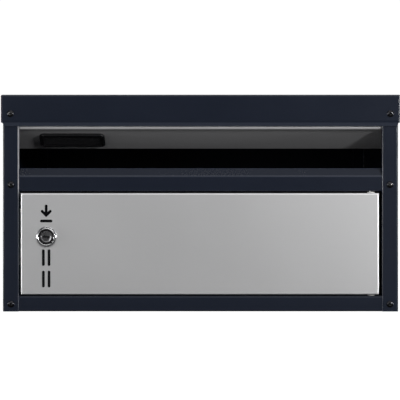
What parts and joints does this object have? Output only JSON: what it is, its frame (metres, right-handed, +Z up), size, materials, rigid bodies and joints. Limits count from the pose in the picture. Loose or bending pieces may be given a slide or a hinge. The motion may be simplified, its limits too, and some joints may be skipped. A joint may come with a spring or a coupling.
{
  "type": "wall mounted mailbox",
  "caption": "Wall mounted steel mailbox with a full-width letter slot and swinging flap, a side-hung lockable collection door and a folded roof cap.",
  "frame": {"origin": "centre of the four wall holes, on the rear face of the back panel", "axes": "+X to the right of someone facing the door, +Y towards the wall, +Z up"},
  "size_m": [0.45, 0.2936, 0.2442],
  "materials": {
    "anthracite_coat": "fine satin powder coat, anthracite",
    "flap_steel": "satin stainless sheet",
    "door_steel": "fine satin stainless sheet",
    "bright_steel": "turned, bright",
    "zinc_steel": "zinc plated",
    "lock_chrome": "polished chrome plate",
    "lock_core": "satin nickel",
    "black_screw": "black coated",
    "rivet_alloy": "plain rivet",
    "black_plastic": "glossy black",
    "nylon": "natural nylon",
    "card": "blank dark card",
    "clear_window": "clear acrylic",
    "smoked_acrylic": "smoked acrylic sheet",
    "rubber": "soft black rubber"
  },
  "bodies": {
    "body": {"back_panel": "anthracite_coat", "left_side_panel": "anthracite_coat", "right_side_panel": "anthracite_coat", "floor_panel": "anthracite_coat", "roof_cap": "anthracite_coat", "middle_rail": "anthracite_coat", "chute_plate": "anthracite_coat", "flap_bracket_left": "anthracite_coat", "flap_bracket_right": "anthracite_coat", "flap_bushes": "nylon", "flap_bumpers": "rubber", "hinge_pin_lower": "bright_steel", "hinge_pin_upper": "bright_steel", "latch_strike": "zinc_steel", "door_buffers": "rubber", "front_screws": "black_screw", "front_nuts": "zinc_steel", "roof_spacers": "zinc_steel", "back_rivets": "rivet_alloy"},
    "flap": {"flap": "flap_steel", "flap_rod": "bright_steel", "rod_clips": "bright_steel", "nameplate_frame": "black_plastic", "name_card": "card", "nameplate_window": "clear_window"},
    "door": {"door_panel": "door_steel", "door_stiffener": "zinc_steel", "door_bushes": "nylon", "lock_housing": "lock_chrome", "lock_ring": "black_plastic", "lock_nut": "zinc_steel", "view_window": "smoked_acrylic"},
    "lock": {"lock_plug": "lock_core", "key_shutter": "black_plastic", "lock_cam": "zinc_steel", "cam_screw": "bright_steel"}
  },
  "joints": [
    {"name": "door_hinge", "type": "hinge", "parent": "body", "child": "door", "pos_m": [0.1932, -0.28, -0.04575], "axis": [0, 0, 1], "range_deg": [0, 105]},
    {"name": "flap_hinge", "type": "hinge", "parent": "body", "child": "flap", "pos_m": [0, -0.2818, 0.08605], "axis": [1, 0, 0], "range_deg": [-56.5, 21.5]},
    {"name": "lock_turn", "type": "hinge", "parent": "door", "child": "lock", "pos_m": [-0.1737, -0.288, -0.03795], "axis": [0, 1, 0], "range_deg": [0, 90]}
  ]
}
